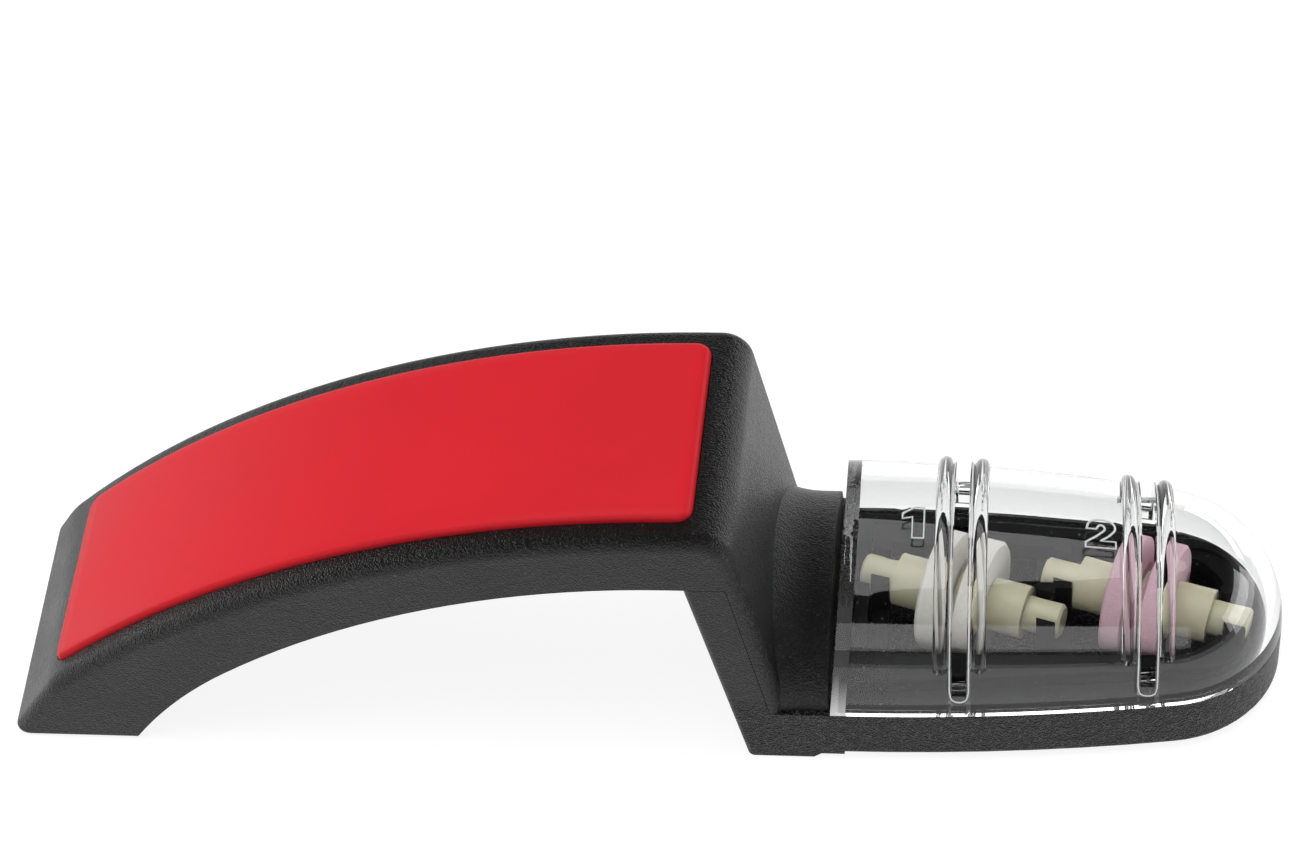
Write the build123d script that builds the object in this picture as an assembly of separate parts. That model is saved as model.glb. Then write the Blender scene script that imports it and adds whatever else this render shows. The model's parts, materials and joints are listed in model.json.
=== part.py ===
from build123d import *
import os
from math import asin, cos, degrees, radians, sin, sqrt, tan

os.makedirs("parts", exist_ok=True)

# Pull through knife sharpener. Sizes are millimetres. X runs from the tail of the handle to the
# rounded nose, Y across, Z up from the surface it stands on. Places along X are measured from
# near the front of the tail foot, and the whole part is moved at the end to put its origin under
# its middle. A changed overall length makes the handle longer and leaves the head as it is.

# Housing, outer form. The names that end in back are distances behind the head's start.
nose_x = 197.6
body_half = 23.3
tail_skew = 4.2
tail_bend_x = 1.4
tail_bend_z = 9.67
tail_bend_turn = 14.1
tail_bend_round = 14.0
crown_back = 20.6
crown_top = 48.2
arch_back = 23.2
handle_thick = 10.2
toe_join_x = 34.0
toe_join_z = 16.6
toe_radius = 66.9
shoulder_back = 14.0
neck_foot_back = 6.8
leg_top_back = 21.1
leg_foot_back = 13.2
leg_heel_back = 2.8
tray_start_back = 1.6
foot_lift = 0.25
tray_lift = 1.1
seam_z = 10.2
shoulder_round = 5.0
tip_round = 0.8
edge_round = 2.3
leg_round = 1.2
tray_edge_round = 1.0
half_turn = 180.0

# Walls, clearances and the overrun of cuts
wall = 2.4
roof = 2.2
panel_wall = 2.0
panel_start_x = 2.2
panel_recess = 0.5
foot_recess = 0.95
seat_gap = 0.15
body_gap = 0.3
overrun = 2.0

# Collar between the neck and the clear cover
collar_margin = 0.9
collar_rise = 11.0
flare_back = 10.8
flare_length = 7.4
flare_rise = 4.6
flare_side = 0.7
flare_place_shares = (0, 0.25, 0.5, 0.75, 1)
flare_rise_shares = (1, 0.58, 0.26, 0.07, 0)

# Plan of the head: two long side arcs run into a round nose
head_side_start = 1.8
head_side_radius = 340.0
nose_bend_turn = 40.0

# Tray under the wheels
tray_wall = 2.6
tray_floor = 1.0
flange_drop = 1.1
ledge = 1.4

# Clear cover over the wheels
cover_wall = 2.3
cover_axis_drop = 0.7
cover_lean = 4.7
tongue_inset = 1.15
tongue_depth = 1.0
slot_width = 2.2
slot_low_z = 14.9
rim_low_z = 11.2
rim_width = 3.5
rim_rise = 0.6
bead_low_z = 19.0
bead_width = 2.3
bead_rise = 1.2
bead_place = 2.85

# Red grip plate in the top of the handle
grip_start_x = 3.6
grip_skew = 5.0
grip_end_margin = 5.2
grip_side_margin = 4.3
grip_proud = 0.9
grip_depth = 1.2
grip_corner_round = 2.6
grip_edge_round = 0.9

# Wheel cradle, a black frame that drops into the tray
cradle_start_gap = 0.5
cradle_start_margin = 5.0
cradle_nose_margin = 5.5
cradle_end_margin = 10.2
cradle_flat = 4.1
cradle_top_z = 12.85
cradle_step = 0.6
cradle_lip = 2.3
cradle_lip_round = 0.4
well_start_margin = 2.2
well_nose_margin = 2.9
well_start_step = 6.3
well_end_step = 2.1
well_flat = 0.5
web_low_z = 4.0
web_thick = 2.9
web_place = 13.6
web_half = 4.8
fork_top_z = 15.4
bar_height = 5.3

# Wheel cartridges, one coarse and one fine, yawed across the head
axle_z = 12.6
axle_yaw = 18.3
coarse_place = 19.7
wheel_pitch = 28.4
nose_room = 21.3
axle_half = 16.4
shoulder_place = 10.6
journal_diameter = 5.5
journal_gap = 0.1
axle_collar_diameter = 8.4
core_diameter = 4.0
core_gap = 0.05
cap_bore_depth = 5.2
wheel_outer = 4.7
wheel_gap = 0.05
wheel_rim_diameter = 19.4
wheel_outer_diameter = 18.6
wheel_inner_diameter = 12.0
wheel_rim_place = 1.5
wheel_rim_flat = 2.8
spacer_thick = 0.8
spacer_diameter = 9.0
journal_chamfer = 0.4

# Screws and soft feet under the housing
screw_head_diameter = 5.2
screw_head_height = 1.8
screw_shank_diameter = 2.9
screw_length = 6.6
screw_drive_width = 0.9
screw_drive_depth = 0.8
screw_drive_share = 0.6
screw_gap = 0.1
pilot_gap = 0.02
boss_diameter = 6.4
seat_diameter = 8.0
seat_floor = 2.1
screw_tail_x = 9.4
screw_arch_run = 30.0
screw_leg_run = 4.2
screw_side_margin = 7.9
screw_arch_margin = 10.3
tail_pad_length = 8.4
leg_pad_length = 6.0
leg_pad_run = 4.8
pad_side_gap = 5.4
pad_thick = 1.2
pad_round = 1.5
nose_pad_diameter = 8.0
nose_pad_run = 21.6
nose_pad_side = 8.6
nose_pad_pocket = 0.3
rib_thick = 1.4
rib_drop = 3.0
rib_count = 5
rib_first_x = 22.0
rib_last_run = 17.6

# Worked out from the sizes above
fine_x = nose_x - nose_room
coarse_x = fine_x - wheel_pitch
head_start_x = coarse_x - coarse_place
head_side_x = head_start_x + head_side_start
crown_x = head_start_x - crown_back
crown_run = crown_x - tail_bend_x
crown_drop = crown_top - tail_bend_z
crown_radius = (crown_run**2 + crown_drop**2) / (2 * crown_drop)
tail_slope = degrees(asin(crown_run / crown_radius)) + tail_bend_turn
tail_x = tail_bend_x - (tail_bend_z - foot_lift) / tan(radians(tail_slope))
tail_reach = sqrt(crown_radius**2 - (foot_lift - crown_top + crown_radius) ** 2)
arch_x = head_start_x - arch_back
arch_run = arch_x - toe_join_x
arch_top = crown_top - handle_thick
arch_drop = arch_top - toe_join_z
arch_radius = (arch_run**2 + arch_drop**2) / (2 * arch_drop)
arch_centre_z = arch_top - arch_radius
toe_lean_x = arch_run / arch_radius
toe_lean_z = sqrt(1 - toe_lean_x**2)
toe_centre_x = toe_join_x + toe_lean_x * toe_radius
toe_centre_z = toe_join_z - toe_lean_z * toe_radius
toe_end_x = toe_centre_x - sqrt(toe_radius**2 - (foot_lift - toe_centre_z) ** 2)
shoulder_x = head_start_x - shoulder_back
neck_foot_x = head_start_x - neck_foot_back
leg_top_x = head_start_x - leg_top_back
leg_foot_x = head_start_x - leg_foot_back
leg_heel_x = head_start_x - leg_heel_back
tray_start_x = head_start_x - tray_start_back
collar_end_x = head_start_x - body_gap
collar_half = body_half - collar_margin
flare_start_x = head_start_x - flare_back
grip_end_x = shoulder_x - grip_end_margin
grip_half = body_half - grip_side_margin
skew_reach = body_half * tan(radians(tail_skew))
side_centre_y = body_half - head_side_radius
nose_reach = nose_x - head_side_x
nose_top = head_side_radius**2 - nose_reach**2 - side_centre_y**2
nose_radius = nose_top / (2 * (head_side_radius - nose_reach))
nose_centre_x = nose_x - nose_radius
blend_share = head_side_radius / (head_side_radius - nose_radius)
blend_x = head_side_x + (nose_centre_x - head_side_x) * blend_share
blend_y = side_centre_y - side_centre_y * blend_share
tray_floor_z = tray_lift + tray_floor
cover_axis_z = seam_z - cover_axis_drop
flange_z = seam_z - flange_drop
cradle_start_x = head_start_x + cover_wall + cradle_start_gap
cradle_end_x = nose_x - cradle_nose_margin
cradle_start_half = body_half - cradle_start_margin
cradle_end_half = body_half - cradle_end_margin
cradle_round = cradle_end_half - cradle_flat
well_start_x = cradle_start_x + well_start_margin
well_end_x = cradle_end_x - well_nose_margin
well_start_half = cradle_start_half - well_start_step
well_end_half = cradle_end_half - well_end_step
well_round = well_end_half - well_flat
journal_bore = journal_diameter + 2 * journal_gap
screw_side = body_half - screw_side_margin
screw_arch_x = toe_join_x + screw_arch_run
screw_arch_side = body_half - screw_arch_margin
screw_leg_x = leg_heel_x - screw_leg_run
leg_pad_x = leg_heel_x - leg_pad_run
pad_width = 2 * (screw_side - pad_side_gap)
nose_pad_x = nose_x - nose_pad_run
rib_pitch = (crown_x - rib_last_run - rib_first_x) / (rib_count - 1)


def crown_z(x, inset=0):
    """Height of the handle's top arc, or of that arc set in towards its centre."""
    return crown_top - crown_radius + sqrt((crown_radius - inset) ** 2 - (crown_x - x) ** 2)


def arch_z(x, outset=0):
    """Height of the underside arc, or of that arc set out into the handle."""
    return arch_centre_z + sqrt((arch_radius + outset) ** 2 - (arch_x - x) ** 2)


def toe_x(z, outset=0):
    """Where the small arc above the tail foot comes down to a height."""
    return toe_centre_x - sqrt((toe_radius + outset) ** 2 - (z - toe_centre_z) ** 2)


def neck_x(z, inset=0):
    """Place of the sloping neck face at a height, or of that face set in."""
    share = (crown_top - z) / (crown_top - seam_z)
    return shoulder_x + (neck_foot_x - shoulder_x) * share - inset


def leg_x(z):
    """Place of the leg's front face at a height."""
    share = (arch_top - z) / (arch_top - foot_lift)
    return leg_top_x + (leg_foot_x - leg_top_x) * share


def side_solid(lines, half_width):
    """A closed side outline made solid, equally to both sides of the middle."""
    return extrude(make_face(Plane.XZ * Curve(lines)), amount=half_width, both=True)


def crown_arc(x0, x1, inset=0):
    """Arc of the handle's top between two places."""
    mid = (x0 + x1) / 2
    ends = ((x0, crown_z(x0, inset)), (mid, crown_z(mid, inset)), (x1, crown_z(x1, inset)))
    return ThreePointArc(*ends)


def under_lines(low, end_x, outset=0):
    """Underside of the handle from a height near the tail foot to a place along: two tangent arcs."""
    reach = arch_radius + outset
    start = (toe_x(low, outset), low)
    join = (arch_x - toe_lean_x * reach, arch_centre_z + toe_lean_z * reach)
    mid_x = (start[0] + join[0]) / 2
    rise = sqrt((toe_radius + outset) ** 2 - (toe_centre_x - mid_x) ** 2)
    toe = ThreePointArc(start, (mid_x, toe_centre_z + rise), join)
    bend_x = (join[0] + end_x) / 2
    arch = ThreePointArc(join, (bend_x, arch_z(bend_x, outset)), (end_x, arch_z(end_x, outset)))
    return [toe, arch]


def slab(x0, x1, half_y, z0, z1):
    """Plain block between two places along, two heights, and equal sides."""
    block = Box(x1 - x0, 2 * half_y, z1 - z0, align=(Align.MIN, Align.CENTER, Align.MIN))
    return Pos(x0, 0, z0) * block


def post(x, y, z, diameter, height):
    """Upright round post or bore that starts at a height."""
    rod = Cylinder(diameter / 2, height, align=(Align.CENTER, Align.CENTER, Align.MIN))
    return Pos(x, y, z) * rod


def both_sides(x, y, z, diameter, height):
    """Two equal posts, one to each side of the middle."""
    return post(x, y, z, diameter, height) + post(x, -y, z, diameter, height)


def half_plan(start_x, inset):
    """Half outline of the head as two arcs, offset inwards by an inset."""
    side_radius = head_side_radius - inset
    round_radius = nose_radius - inset
    start_y = side_centre_y + sqrt(side_radius**2 - (start_x - head_side_x) ** 2)
    mid_x = (start_x + blend_x) / 2
    mid_y = side_centre_y + sqrt(side_radius**2 - (mid_x - head_side_x) ** 2)
    lean_x = (blend_x - nose_centre_x) / nose_radius
    join = (nose_centre_x + round_radius * lean_x, round_radius * blend_y / nose_radius)
    turn = radians(nose_bend_turn)
    bend = (nose_centre_x + round_radius * cos(turn), round_radius * sin(turn))
    tip = (nose_x - inset, 0)
    side = ThreePointArc((start_x, start_y), (mid_x, mid_y), join)
    nose = ThreePointArc(join, bend, tip)
    return side, nose, (start_x, start_y)


def head_plan(start_x, inset=0):
    """Flat outline of the head: square at the collar, a round nose at the other end."""
    side, nose, corner = half_plan(start_x, inset)
    middle = Line((nose_x - inset, 0), (start_x, 0))
    half = make_face(Curve([side, nose, middle, Line((start_x, 0), corner)]))
    return half + mirror(half, about=Plane.XZ)


def head_block(start_x, inset, z0, z1):
    """The head's outline made solid between two heights."""
    return Pos(0, 0, z0) * extrude(head_plan(start_x, inset), amount=z1 - z0)


def head_round(start_x, inset):
    """Body of revolution that has the head's outline as its section through the axis."""
    side, nose, corner = half_plan(start_x, inset)
    base = Line((nose_x - inset, 0), (start_x, 0))
    face = make_face(Curve([side, nose, base, Line((start_x, 0), corner)]))
    return Pos(0, 0, cover_axis_z) * revolve(face, axis=Axis.X, revolution_arc=360)


def tail_cutter():
    """Block beyond the sloping end face of the tail, which stands a little off square."""
    block = Box(body_half, 4 * body_half, 4 * body_half, align=(Align.MIN, Align.CENTER, Align.CENTER))
    tilt = Rot(0, 0, tail_skew) * Rot(0, -90 - tail_slope, 0)
    return Pos(tail_x, 0, foot_lift) * tilt * block


def handle_form():
    """Outer form of the upper housing, still solid and open to the leg."""
    low = foot_lift
    far_tail = crown_x - tail_reach
    high_neck = neck_x(arch_top, wall)
    lines = [
        crown_arc(far_tail, crown_x),
        Line((crown_x, crown_top), (shoulder_x, crown_top)),
        Line((shoulder_x, crown_top), (neck_x(seam_z), seam_z)),
        Line((neck_x(seam_z), seam_z), (neck_x(seam_z, wall), seam_z)),
        Line((neck_x(seam_z, wall), seam_z), (high_neck, arch_top)),
        Line((high_neck, arch_top), (arch_x, arch_top)),
        *under_lines(low, arch_x),
        Line((toe_end_x, low), (far_tail, low)),
    ]
    form = side_solid(lines, body_half) - tail_cutter()
    bend = [e for e in form.edges() if tail_edge(e) and e.position_at(0.5).Z > foot_lift + wall]
    form = fillet(bend, tail_bend_round)
    across = form.edges().filter_by(Axis.Y)
    shoulder = [e for e in across.group_by(Axis.Z)[-1] if e.position_at(0.5).X > crown_x + wall]
    form = fillet(shoulder, shoulder_round)
    form = fillet(rim_edges(form), edge_round)
    tip = [e for e in form.edges() if tail_edge(e) and e.position_at(0.5).Z < foot_lift + seat_gap]
    return fillet(tip, tip_round)


def tail_edge(edge):
    """Whether an edge runs across the tail, near its end."""
    middle = edge.position_at(0.5)
    return abs(middle.Y) < wall and middle.X < tail_bend_x + wall


def rim_edges(form):
    """Side edges up the tail's face, along the crown, over the shoulder and down the neck."""
    chosen = []
    for edge in form.edges():
        spot = edge.position_at(0.5)
        if abs(abs(spot.Y) - body_half) > seat_gap:
            continue
        flat_foot = spot.Z < foot_lift + seat_gap
        under = spot.X < arch_x and spot.Z < arch_top and spot.Z < under_z(spot.X) + wall / 2
        joint = spot.X > arch_x and spot.X < neck_x(spot.Z, wall / 2) and spot.Z < arch_top + wall
        base = spot.X > arch_x and spot.Z < seam_z + seat_gap
        if not (flat_foot or under or joint or base):
            chosen.append(edge)
    return chosen


def under_z(x):
    """Height of the handle's underside at a place along it."""
    if x < toe_end_x:
        return foot_lift
    if x > toe_join_x:
        return arch_z(x)
    return toe_centre_z + sqrt(toe_radius**2 - (toe_centre_x - x) ** 2)


def arch_face(x, half, rise, base_z):
    """Upright half ellipse across the head with its flat side down."""
    arc = EllipticalCenterArc((0, 0), half, rise, start_angle=0, arc_size=half_turn)
    face = make_face(Curve([arc, Line((-half, 0), (half, 0))]))
    return Plane(origin=(x, 0, base_z), x_dir=(0, 1, 0), z_dir=(1, 0, 0)) * face


def before_neck():
    """Space on the head's side of the middle of the neck wall."""
    top = crown_top
    far = collar_end_x + overrun
    low_x = neck_x(seam_z, wall / 2)
    points = [(low_x, seam_z), (neck_x(top, wall / 2), top), (far, top), (far, seam_z)]
    return side_solid([Line(a, b) for a, b in zip(points, points[1:] + points[:1])], body_half)


def collar_form():
    """Low arched collar with a flared root, that the clear cover stands against."""
    start = neck_x(seam_z, wall / 2)
    collar = extrude(arch_face(start, collar_half, collar_rise, seam_z), amount=collar_end_x - start)
    flares = []
    for place, grow in zip(flare_place_shares, flare_rise_shares):
        x = flare_start_x + flare_length * place
        half = collar_half + flare_side * grow
        flares.append(arch_face(x, half, collar_rise + flare_rise * grow, seam_z))
    return collar + (loft(flares) & before_neck())


def handle_cavity():
    """Hollow inside the upper housing, open downwards over its whole length."""
    inner_top = grip_depth + roof
    below = -overrun
    bend_x = tail_bend_x + wall + skew_reach
    bend_z = crown_z(bend_x, inner_top)
    low_x = bend_x - (bend_z - below) / tan(radians(tail_slope))
    neck_top = crown_top - inner_top
    lines = [
        Line((low_x, below), (bend_x, bend_z)),
        crown_arc(bend_x, crown_x, inner_top),
        Line((crown_x, neck_top), (neck_x(neck_top, wall), neck_top)),
        Line((neck_x(neck_top, wall), neck_top), (neck_x(below, wall), below)),
        Line((neck_x(below, wall), below), (low_x, below)),
    ]
    return side_solid(lines, body_half - wall)


def collar_cavity():
    """Hollow inside the collar, open to the neck's hollow through the neck wall."""
    start = neck_x(seam_z) + wall / 2
    face = arch_face(start, collar_half - wall, collar_rise - wall, seam_z - seat_gap)
    return extrude(face, amount=collar_end_x - wall / 2 - start)


def grip_solid(proud, grow):
    """Curved plate between two arcs that follow the crown, grown by a clearance."""
    start = grip_start_x - grow - 2 * skew_reach
    end = grip_end_x + grow
    low = grip_depth + grow / 2
    lines = [
        crown_arc(start, end, -proud),
        Line((end, crown_z(end, -proud)), (end, crown_z(end, low))),
        crown_arc(start, end, low),
        Line((start, crown_z(start, -proud)), (start, crown_z(start, low))),
    ]
    plate = side_solid(lines, grip_half + grow)
    cutter = Box(body_half, 4 * body_half, 4 * body_half, align=(Align.MAX, Align.CENTER, Align.CENTER))
    plate = plate - Pos(grip_start_x - grow, 0, 0) * Rot(0, 0, grip_skew) * cutter
    return fillet(plate.edges().filter_by(Axis.Z), grip_corner_round + grow)


def screw_places():
    """The screws' places along, to the side, and the height of each head's underside face."""
    tail = (screw_tail_x, screw_side, foot_lift + foot_recess + seat_gap)
    arch_low = arch_z(screw_arch_x - screw_head_diameter / 2, panel_recess) + seat_gap
    leg = (screw_leg_x, screw_side, foot_lift + foot_recess + seat_gap)
    return tail, (screw_arch_x, screw_arch_side, arch_low), leg


def handle_ribs():
    """Cross ribs under the roof and the screw bosses that hang from it."""
    ribs = []
    for i in range(rib_count):
        x = rib_first_x + i * rib_pitch
        top = crown_z(x, grip_depth)
        ribs.append(slab(x, x + rib_thick, body_half - wall, top - roof - rib_drop, top))
    tail, arch, leg = screw_places()
    for x, y, z in (tail, arch):
        low = z + screw_head_height + seat_floor + seat_gap
        height = crown_z(x, grip_depth + roof / 2) - low
        ribs += [post(x, y, low, boss_diameter, height), post(x, -y, low, boss_diameter, height)]
    x, y, z = leg
    low = z + screw_head_height + seat_floor + seat_gap
    height = seam_z + collar_rise / 2 - low
    ribs += [post(x, y, low, boss_diameter, height), post(x, -y, low, boss_diameter, height)]
    return ribs


def pilot_holes():
    """Holes in the bosses for the screws' shanks."""
    holes = []
    bore = screw_shank_diameter + 2 * pilot_gap
    for x, y, z in screw_places():
        start = z + screw_head_height
        holes += [post(x, y, start, bore, screw_length), post(x, -y, start, bore, screw_length)]
    return holes


def handle_shell():
    """Upper moulding: handle, neck and collar in one hollow shell."""
    shell = handle_form() + collar_form() - handle_cavity() - collar_cavity()
    shell = shell + handle_ribs()
    return shell - grip_solid(overrun, seat_gap) - pilot_holes()


def grip_insert():
    """Soft red plate, raised a little above the handle, with a rounded edge."""
    plate = grip_solid(grip_proud, 0)
    top = [
        e
        for e in plate.edges()
        if e.position_at(0.5).Z > crown_z(e.position_at(0.5).X, -grip_proud / 2)
    ]
    return fillet(top, grip_edge_round)


def leg_form():
    """Outer form of the leg between the arch, the neck's wall and the ground."""
    x_low = neck_x(seam_z, wall + seat_gap / 2)
    x_high = neck_x(arch_top, wall + seat_gap / 2)
    top = arch_top - seat_gap / 2
    shelf = seam_z - seat_gap / 2
    points = [
        (leg_x(top), top),
        (leg_x(foot_lift), foot_lift),
        (leg_heel_x, foot_lift),
        (tray_start_x, tray_lift),
        (head_start_x + overrun, tray_lift),
        (head_start_x + overrun, shelf),
        (x_low, shelf),
        (x_high, top),
        (leg_x(top), top),
    ]
    form = side_solid([Line(a, b) for a, b in zip(points[:-1], points[1:])], body_half)
    front = [
        e
        for e in form.edges()
        if abs(abs(e.position_at(0.5).Y) - body_half) < seat_gap
        and abs(e.position_at(0.5).X - leg_x(e.position_at(0.5).Z)) < seat_gap
    ]
    return fillet(front, leg_round)


def panel_form():
    """Closing plate under the handle, from the tail foot up along the arch to the leg."""
    low = foot_lift + foot_recess
    high = low + panel_wall
    end = leg_top_x + panel_wall
    outer = panel_recess
    inner = panel_recess + panel_wall
    lines = [
        Line((panel_start_x, low), (toe_x(low, outer), low)),
        *under_lines(low, end, outer),
        Line((end, arch_z(end, outer)), (end, arch_z(end, inner))),
        *under_lines(high, end, inner),
        Line((toe_x(high, inner), high), (panel_start_x, high)),
        Line((panel_start_x, high), (panel_start_x, low)),
    ]
    return side_solid(lines, body_half - wall - seat_gap)


def leg_cavity():
    """Hollow inside the leg, open at the top and closed at the ground."""
    floor = foot_lift + foot_recess + panel_wall
    x_front = leg_x(floor) + panel_wall
    top = arch_top + overrun
    points = [
        (x_front, floor),
        (leg_x(top) + panel_wall + seat_gap, top),
        (neck_x(top), top),
        (neck_x(seam_z), seam_z),
        (leg_heel_x, seam_z),
        (leg_heel_x, floor),
        (x_front, floor),
    ]
    lines = [Line(a, b) for a, b in zip(points[:-1], points[1:])]
    return side_solid(lines, body_half - wall)


def tray_form():
    """Outer form of the tray, with its lower edge rounded."""
    form = head_block(leg_heel_x, 0, tray_lift, seam_z - seat_gap / 2)
    low = form.edges().group_by(Axis.Z)[0]
    chosen = [e for e in low if e.position_at(0.5).X > leg_heel_x + seat_gap]
    return fillet(chosen, tray_edge_round)


def tray_cavity():
    """Well of the tray, with a step near the top that carries the cradle's flange."""
    start = head_start_x + cover_wall
    deep = head_block(start, tray_wall + ledge, tray_floor_z, seam_z + overrun)
    step = head_block(start, tray_wall, flange_z - seat_gap, seam_z + overrun)
    return deep + step


def base_shell():
    """Lower moulding: closing plate, leg, foot and tray in one piece."""
    shell = leg_form() + tray_form() + panel_form()
    shell = shell - leg_cavity() - tray_cavity()
    tie_end = leg_top_x + panel_wall + seat_gap
    tie_top = arch_top + panel_recess + panel_wall / 2
    tie_half = body_half - wall - seat_gap
    shell = shell + slab(leg_top_x + seat_gap, tie_end, tie_half, arch_top - panel_wall, tie_top)
    for x, y, z in screw_places():
        height = screw_head_height + seat_floor
        shell = shell + both_sides(x, y, z + panel_wall / 2, seat_diameter, height - panel_wall / 2)
    bore = screw_head_diameter + 2 * screw_gap
    shank = screw_shank_diameter + 2 * screw_gap
    for x, y, z in screw_places():
        shell = shell - both_sides(x, y, z - wall, bore, screw_head_height + wall)
        shell = shell - both_sides(x, y, z, shank, screw_length)
    shell = shell - leg_pad_solid(seat_gap) - nose_pad_solid(seat_gap)
    shell = shell - tongue_rebate()
    return shell


def pad_block(x, length, width, low, high, grow):
    """Flat soft pad with rounded corners."""
    block = Box(length + 2 * grow, width + 2 * grow, high - low)
    block = fillet(block.edges().filter_by(Axis.Z), pad_round)
    return Pos(x, 0, (low + high) / 2) * block


def tail_pad_solid():
    """Soft pad under the tail foot."""
    return pad_block(screw_tail_x, tail_pad_length, pad_width, 0, pad_thick, 0)


def leg_pad_solid(grow=0):
    """Soft pad in a pocket under the leg's foot."""
    low = -grow
    return pad_block(leg_pad_x, leg_pad_length, pad_width, low, pad_thick, grow)


def nose_pad_solid(grow=0):
    """Two round soft pads under the tray."""
    height = tray_lift + nose_pad_pocket
    return both_sides(nose_pad_x, nose_pad_side, 0, nose_pad_diameter + 2 * grow, height)


def cover_limit(offset):
    """Space in front of the cover's leaning end wall, used to trim it."""
    lean = tan(radians(cover_lean))
    top = 2 * body_half
    x0 = head_start_x + offset
    points = [
        (x0, seam_z),
        (x0 + top * lean, seam_z + top),
        (nose_x + overrun, seam_z + top),
        (nose_x + overrun, seam_z),
        (x0, seam_z),
    ]
    lines = [Line(a, b) for a, b in zip(points[:-1], points[1:])]
    return side_solid(lines, body_half + overrun)


def cover_reach(x):
    """Radius of the cover's outside at a place along it."""
    return side_centre_y + sqrt(head_side_radius**2 - (x - head_side_x) ** 2)


def band(x, width, low_z, crest):
    """Raised band round the cover above a height, from the lines or the arc of its crest."""
    foot = cover_reach(x) - cover_wall / 2
    reach = cover_reach(x)
    left, right = x - width / 2, x + width / 2
    lines = [Line((left, foot), (left, reach)), *crest, Line((right, reach), (right, foot))]
    face = make_face(Curve([*lines, Line((right, foot), (left, foot))]))
    above = slab(x - width, x + width, 2 * body_half, low_z, low_z + 2 * body_half)
    return (Pos(0, 0, cover_axis_z) * revolve(face, axis=Axis.X, revolution_arc=360)) & above


def slot_rim(x):
    """Low flat band that the knife slot runs through."""
    reach = cover_reach(x)
    top = reach + rim_rise
    left, right = x - rim_width / 2, x + rim_width / 2
    points = [(left, reach), (left + rim_rise, top), (right - rim_rise, top), (right, reach)]
    return band(x, rim_width, rim_low_z, [Line(a, b) for a, b in zip(points, points[1:])])


def slot_bead(x):
    """Round bead beside a knife slot."""
    reach = cover_reach(x)
    half = bead_width / 2
    crest = ThreePointArc((x - half, reach), (x, reach + bead_rise), (x + half, reach))
    return band(x, bead_width, bead_low_z, [crest])


def cover_tongue():
    """Thin tongue under the cover's edge that drops inside the tray's lip."""
    low = seam_z - tongue_depth
    high = seam_z + body_gap
    ring = head_block(head_start_x + tongue_inset, tongue_inset, low, high)
    return ring - head_block(head_start_x + cover_wall, cover_wall, low - overrun, high + overrun)


def tongue_rebate():
    """Space inside the tray's lip that takes the cover's tongue."""
    inset = tongue_inset - seat_gap
    low = seam_z - tongue_depth - seat_gap
    return head_block(head_start_x + inset, inset, low, seam_z + overrun)


def wheel_cover():
    """Clear cover with two knife slots, each between two raised beads."""
    outer = head_round(head_start_x - overrun, 0) & cover_limit(0)
    inner = head_round(head_start_x - overrun, cover_wall) & cover_limit(cover_wall)
    cover = outer
    for x in (coarse_x, fine_x):
        cover = cover + slot_rim(x) + slot_bead(x - bead_place) + slot_bead(x + bead_place)
    cover = cover - inner + cover_tongue()
    half_slot = slot_width / 2
    for x in (coarse_x, fine_x):
        cover = cover - slab(x - half_slot, x + half_slot, 2 * body_half, slot_low_z, 2 * crown_top)
    return cover


def taper_plan(start_x, start_half, end_x, end_half, corner):
    """Plan with a square start, tapering sides and a rounded far end."""
    points = [(start_x, start_half), (end_x, end_half), (end_x, -end_half), (start_x, -start_half)]
    face = make_face(Polyline(*points, close=True))
    return fillet(face.vertices().group_by(Axis.X)[-1], corner)


def yawed(x, solid):
    """A cartridge part, modelled along X about the origin, put at its place in the head."""
    return Pos(x, 0, axle_z) * Rot(0, 0, -axle_yaw) * solid


def fork_place(x, side):
    """Middle of a fork along and across, under its journal."""
    turn = radians(axle_yaw)
    return x + side * web_place * cos(turn), -side * web_place * sin(turn)


def saddle(x, side):
    """Fork that carries a journal, square to the head, before its seat is cut."""
    place_x, place_y = fork_place(x, side)
    web = Box(web_thick, 2 * web_half, fork_top_z - web_low_z)
    return Pos(place_x, place_y, (fork_top_z + web_low_z) / 2) * web


def cross_bar(x, side):
    """Bar across the well that joins a fork to both long sides."""
    bar = Box(web_thick, 2 * body_half, bar_height)
    return Pos(fork_place(x, side)[0], 0, web_low_z + bar_height / 2) * bar


def room_about(diameter, half_length):
    """Round space that clears a turning part of this size, along X about the origin."""
    return Cylinder(diameter / 2 + body_gap, 2 * (half_length + body_gap), rotation=(0, 90, 0))


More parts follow.
